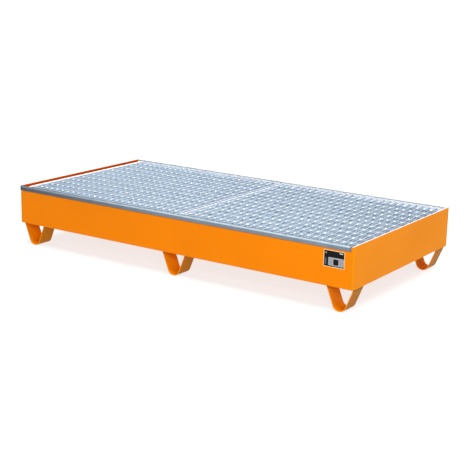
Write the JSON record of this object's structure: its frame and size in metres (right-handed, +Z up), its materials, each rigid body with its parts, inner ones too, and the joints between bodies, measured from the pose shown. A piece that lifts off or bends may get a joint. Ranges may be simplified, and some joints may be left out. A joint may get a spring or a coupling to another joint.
{
  "type": "spill containment pallet",
  "caption": "Long sheet-steel sump tray on V-shaped strap feet, with galvanised edge rails and two lift-off gratings for standing drums over a spill sump.",
  "frame": {"origin": "on the floor under the middle of the pallet", "axes": "+X along the length towards the label's end, -Y towards the front with the label, +Z up"},
  "size_m": [2.4, 1.202, 0.38],
  "materials": {
    "tray_paint": "orange coating, semi-gloss",
    "foot_paint": "orange coating over bent strap, semi-gloss",
    "rail_zinc": "hot-dip galvanised, spangled",
    "grating_zinc": "hot-dip galvanised, bright",
    "label_face": "printed black label with a pale border"
  },
  "bodies": {
    "tray": {"tray_pan": "tray_paint", "left_end_plate": "tray_paint", "right_end_plate": "tray_paint", "front_edge_rail": "rail_zinc", "rear_edge_rail": "rail_zinc", "centre_support_beam": "tray_paint", "front_left_foot": "foot_paint", "front_middle_foot": "foot_paint", "front_right_foot": "foot_paint", "rear_left_foot": "foot_paint", "rear_middle_foot": "foot_paint", "rear_right_foot": "foot_paint", "type_label": "label_face"},
    "left_grating": {"left_bearing_bars": "grating_zinc", "left_cross_bars": "grating_zinc", "left_front_band": "grating_zinc", "left_rear_band": "grating_zinc", "left_outer_band": "grating_zinc", "left_inner_band": "grating_zinc"},
    "right_grating": {"right_bearing_bars": "grating_zinc", "right_cross_bars": "grating_zinc", "right_front_band": "grating_zinc", "right_rear_band": "grating_zinc", "right_outer_band": "grating_zinc", "right_inner_band": "grating_zinc"}
  },
  "joints": [
    {"name": "left_grating_lift", "type": "slide", "parent": "tray", "child": "left_grating", "axis": [0, 0, 1], "range_m": [0, 0.3]},
    {"name": "right_grating_lift", "type": "slide", "parent": "tray", "child": "right_grating", "axis": [0, 0, 1], "range_m": [0, 0.3]}
  ]
}
